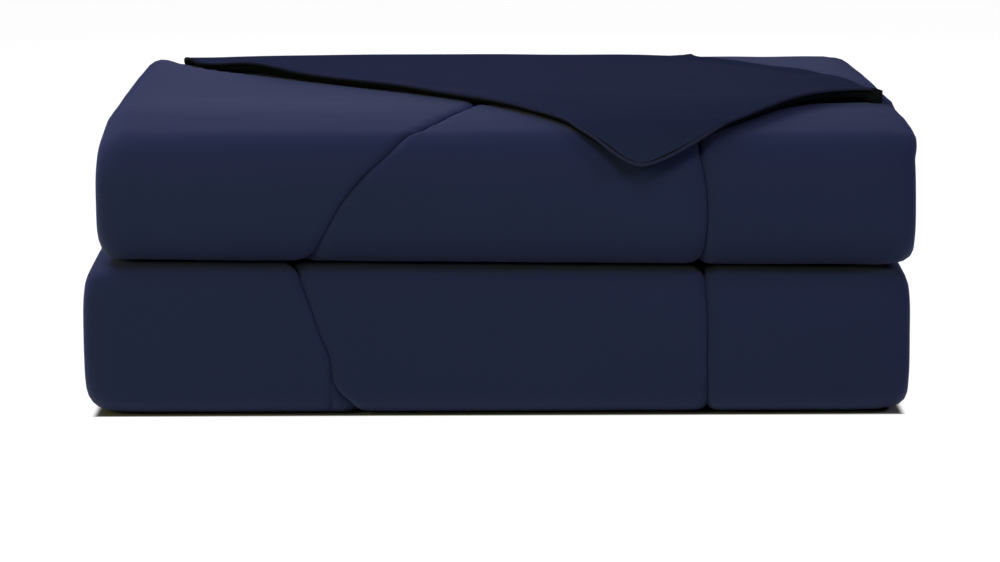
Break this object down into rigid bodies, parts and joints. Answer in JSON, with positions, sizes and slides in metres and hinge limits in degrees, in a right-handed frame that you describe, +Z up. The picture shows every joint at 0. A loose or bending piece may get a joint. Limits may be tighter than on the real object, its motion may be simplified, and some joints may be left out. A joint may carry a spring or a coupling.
{
  "type": "folded cooling comforter",
  "caption": "Quilted cooling comforter folded into a low two-tier stack with round front folds, one corner turned over to show its reverse and corded edge.",
  "frame": {"origin": "middle of the footprint, on the surface the folded comforter rests on", "axes": "+X to the right seen from the front, +Y to the back fold, +Z up; the two round front folds face -Y"},
  "size_m": [0.5966, 0.5882, 0.215],
  "materials": {
    "comforter_cloth": "smooth navy cooling knit, faint sheen, quilted",
    "piping_cord": "navy corded edge, slightly lighter than the cloth"
  },
  "bodies": {
    "root": {"comforter": "comforter_cloth", "piping": "piping_cord"}
  },
  "joints": []
}
